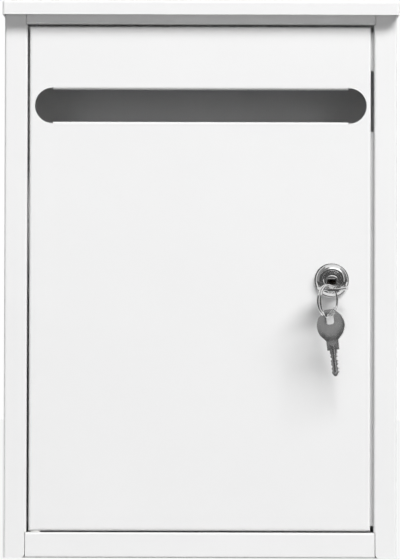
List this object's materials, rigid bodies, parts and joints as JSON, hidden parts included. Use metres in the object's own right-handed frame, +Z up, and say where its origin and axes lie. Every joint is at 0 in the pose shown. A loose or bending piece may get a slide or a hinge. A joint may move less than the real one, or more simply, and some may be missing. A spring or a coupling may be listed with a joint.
{
  "type": "wall-mounted letter box",
  "caption": "White sheet-steel letter box for a wall: roof lip, hinged door with a wide letter slot, cam lock, and keys on a split ring.",
  "frame": {"origin": "centre of the four wall holes, on the plane of the wall", "axes": "+X to the right seen from the front, +Y into the wall, +Z up"},
  "size_m": [0.269, 0.1318, 0.378],
  "materials": {
    "white_paint": "smooth satin powder coat",
    "lock_chrome": "polished chrome",
    "ring_steel": "nickel plated wire",
    "key_steel": "stamped nickel plate",
    "zinc_steel": "zinc plated",
    "wafer_brass": "stamped",
    "washer_nylon": "moulded"
  },
  "bodies": {
    "box": {"body_shell": "white_paint", "bottom_pan": "white_paint", "header_rail": "white_paint", "roof": "white_paint", "hinge_pin_top": "zinc_steel", "hinge_pin_bottom": "zinc_steel", "hinge_washer": "washer_nylon"},
    "door": {"door_panel": "white_paint", "lock_housing": "lock_chrome", "lock_nut": "zinc_steel", "lock_star_washer": "zinc_steel"},
    "lock_core": {"lock_plug": "lock_chrome", "lock_wafers": "wafer_brass", "stop_washer": "zinc_steel", "lock_cam": "zinc_steel", "cam_spring_washer": "zinc_steel", "cam_screw": "zinc_steel"},
    "key": {"key_in_lock": "key_steel"},
    "ring": {"key_ring": "ring_steel"},
    "spare": {"spare_key": "key_steel"}
  },
  "joints": [
    {"name": "door_hinge", "type": "hinge", "parent": "box", "child": "door", "pos_m": [-0.1118, -0.086, 0], "axis": [0, 0, -1], "range_deg": [0, 110]},
    {"name": "lock_turn", "type": "hinge", "parent": "door", "child": "lock_core", "pos_m": [0.0892, -0.0966, 0], "axis": [0, 1, 0], "range_deg": [0, 90]},
    {"name": "key_pull", "type": "slide", "parent": "lock_core", "child": "key", "axis": [0, -0.9877, -0.1564], "range_m": [0, 0.03]},
    {"name": "ring_swing", "type": "hinge", "parent": "key", "child": "ring", "pos_m": [0.08531, -0.1221, -0.00385], "axis": [0.5807, 0.8141, 0], "range_deg": [-15, 15]},
    {"name": "spare_swing", "type": "hinge", "parent": "ring", "child": "spare", "pos_m": [0.08531, -0.1221, -0.02485], "axis": [0.5807, 0.8141, 0], "range_deg": [-40, 40]}
  ]
}
